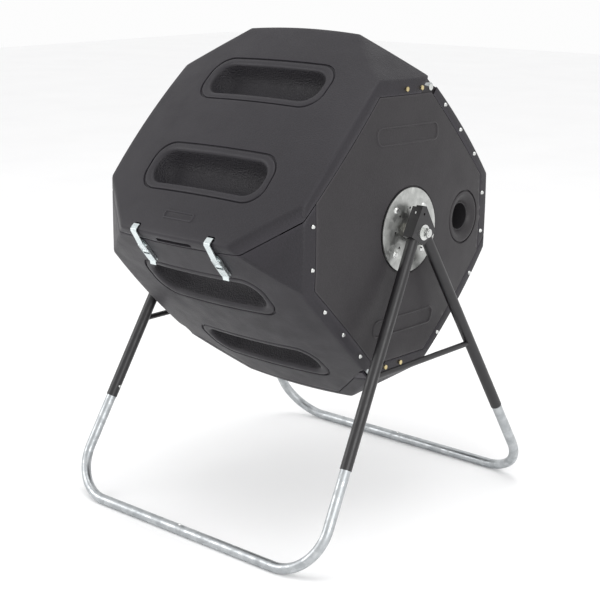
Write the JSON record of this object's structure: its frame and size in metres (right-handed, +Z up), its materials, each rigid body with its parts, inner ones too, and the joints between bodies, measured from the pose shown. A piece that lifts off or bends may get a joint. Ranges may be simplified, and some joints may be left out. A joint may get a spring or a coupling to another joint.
{
  "type": "compost tumbler",
  "caption": "Crowned, corner-cut compost drum with a latched hinged door, turning on an axle between splayed tube legs joined by cross bars and bent floor tubes",
  "frame": {"origin": "on the floor, under the middle of the axle", "axes": "+X along the axle, -Y to the front with the latches, +Z up"},
  "size_m": [0.7764, 0.8389, 1.096],
  "materials": {
    "side_panels": "blow-moulded HDPE, fine leather grain, slightly worn sheen",
    "end_panels": "blow-moulded HDPE, fine grain",
    "tube_plastic": "extruded black plastic",
    "hub_zinc": "galvanised sheet with a fine spangle",
    "bushing_plastic": "plain natural nylon",
    "yellow_zinc": "yellow-passivated zinc plating",
    "strap_zinc": "zinc-plated sheet",
    "latch_zinc": "bright zinc plating, lightly handled",
    "black_coat": "satin black powder coat",
    "galvanised": "galvanised tube",
    "bright_zinc": "bright zinc plating"
  },
  "bodies": {
    "stand": {"hub_bracket_right": "black_coat", "hub_bracket_left": "black_coat", "axle_bolt_right": "bright_zinc", "axle_bolt_left": "bright_zinc", "axle_spacers": "bright_zinc", "axle_washers": "bright_zinc", "axle_nuts": "bright_zinc", "upper_leg_front_right": "black_coat", "upper_leg_front_left": "black_coat", "upper_leg_back_right": "black_coat", "upper_leg_back_left": "black_coat", "cross_bar_right": "black_coat", "cross_bar_left": "black_coat", "foot_front_right": "galvanised", "foot_front_left": "galvanised", "foot_back_right": "galvanised", "foot_back_left": "galvanised", "foot_couplers": "galvanised", "foot_screws": "bright_zinc", "leg_buttons": "bright_zinc"},
    "drum": {"panel_lower_front": "side_panels", "panel_lower_back": "side_panels", "panel_upper_back": "side_panels", "end_panel_right": "end_panels", "end_panel_left": "end_panels", "aeration_tube": "tube_plastic", "hub_plate_right": "hub_zinc", "hub_plate_left": "hub_zinc", "hub_bolts": "bright_zinc", "hub_bushing_right": "bushing_plastic", "hub_bushing_left": "bushing_plastic", "hinge_brackets": "strap_zinc", "hinge_pins": "bright_zinc", "corner_straps": "strap_zinc", "corner_bolts": "yellow_zinc", "panel_screws": "bright_zinc", "latch_base_right": "latch_zinc", "latch_base_left": "latch_zinc"},
    "door": {"door_panel": "side_panels", "door_hinge_straps": "strap_zinc", "door_hinge_bolts": "yellow_zinc"},
    "latch_lever_right": {"latch_lever_right": "latch_zinc"},
    "latch_hook_right": {"latch_hook_right": "latch_zinc"},
    "latch_lever_left": {"latch_lever_left": "latch_zinc"},
    "latch_hook_left": {"latch_hook_left": "latch_zinc"}
  },
  "joints": [
    {"name": "drum_spin", "type": "hinge", "parent": "stand", "child": "drum", "pos_m": [0, 0, 0.678], "axis": [1, 0, 0], "continuous": true},
    {"name": "door_hinge", "type": "hinge", "parent": "drum", "child": "door", "pos_m": [0, 0.09924, 0.97731], "axis": [-1, 0, 0], "range_deg": [0, 100]},
    {"name": "latch_lever_right", "type": "hinge", "parent": "drum", "child": "latch_lever_right", "pos_m": [0.1115, -0.39345, 0.64868], "axis": [-1, 0, 0], "range_deg": [0, 70]},
    {"name": "latch_hook_right", "type": "hinge", "parent": "latch_lever_right", "child": "latch_hook_right", "pos_m": [0.1115, -0.38381, 0.63334], "axis": [-1, 0, 0], "range_deg": [-119, 0]},
    {"name": "latch_lever_left", "type": "hinge", "parent": "drum", "child": "latch_lever_left", "pos_m": [-0.112, -0.39344, 0.6487], "axis": [-1, 0, 0], "range_deg": [0, 70]},
    {"name": "latch_hook_left", "type": "hinge", "parent": "latch_lever_left", "child": "latch_hook_left", "pos_m": [-0.112, -0.3838, 0.63335], "axis": [-1, 0, 0], "range_deg": [-119, 0]}
  ],
  "couplings": [
    {"joint": "latch_hook_right", "follows": "latch_lever_right", "ratio": -1.7},
    {"joint": "latch_hook_left", "follows": "latch_lever_left", "ratio": -1.7}
  ]
}
